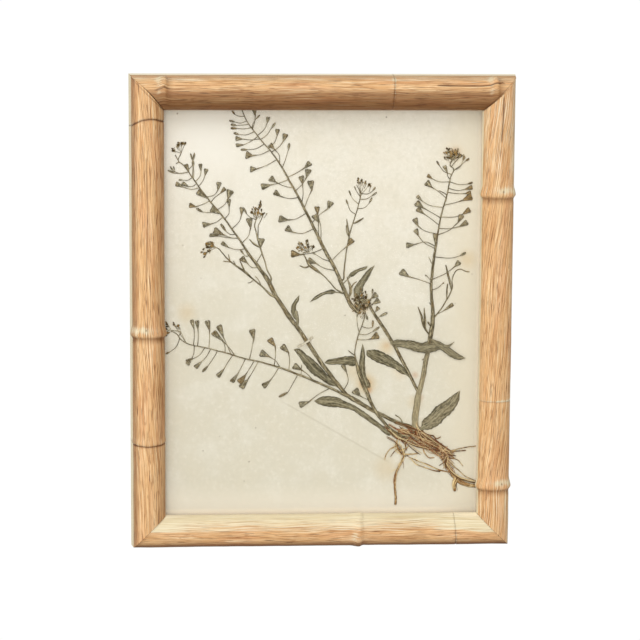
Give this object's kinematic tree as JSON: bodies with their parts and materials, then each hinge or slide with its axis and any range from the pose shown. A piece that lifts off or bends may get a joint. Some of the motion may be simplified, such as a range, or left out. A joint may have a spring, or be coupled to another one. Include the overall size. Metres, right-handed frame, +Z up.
{
  "type": "pressed flower frame",
  "caption": "Whole dried shepherd's purse plant with roots, pressed on aged paper behind glass in a half-round oak frame carved like bamboo, hung by a sawtooth hanger.",
  "frame": {"origin": "where the wall nail bears under the middle notch of the sawtooth hanger, in the plane of the frame's back", "axes": "+Z up, -Y out of the picture towards the viewer, +Y into the wall, +X to the viewer's right"},
  "size_m": [0.232, 0.0244, 0.288],
  "materials": {
    "oak": "limed oak, satin",
    "glass": "clear float glass",
    "paper": "aged cream sheet with foxing",
    "tape": "gummed linen-paper strip",
    "board": "grey-brown board",
    "steel": "zinc-plated sheet and wire",
    "stem": "dried stems and pods, matt",
    "leaf": "dried leaves, matt",
    "root": "dried roots, matt"
  },
  "bodies": {
    "root": {"rail_top": "oak", "rail_bottom": "oak", "rail_left": "oak", "rail_right": "oak", "glass": "glass", "specimen_paper": "paper", "tape_strip": "tape", "backing_board": "board", "point_1": "steel", "point_2": "steel", "point_3": "steel", "point_4": "steel", "point_5": "steel", "point_6": "steel", "hanger": "steel", "hanger_nail_left": "steel", "hanger_nail_right": "steel", "root_crown": "root", "root_left": "root", "root_strands": "root", "stem_right": "stem", "stem_right_branch": "stem", "stem_centre_lower": "stem", "stem_centre": "stem", "stem_centre_branch": "stem", "stem_flower_branch": "stem", "stem_short": "stem", "stem_left_base": "stem", "stem_upper_left": "stem", "stem_upper_left_branch_a": "stem", "stem_upper_left_branch_b": "stem", "stem_lower_left": "stem", "leaf_1": "leaf", "leaf_2": "leaf", "leaf_3": "leaf", "leaf_4": "leaf", "leaf_5": "leaf", "leaf_6": "leaf", "leaf_7": "leaf", "leaf_8": "leaf", "leaf_9": "leaf", "leaf_10": "leaf", "leaf_11": "leaf", "leaf_12": "leaf"}
  },
  "joints": []
}
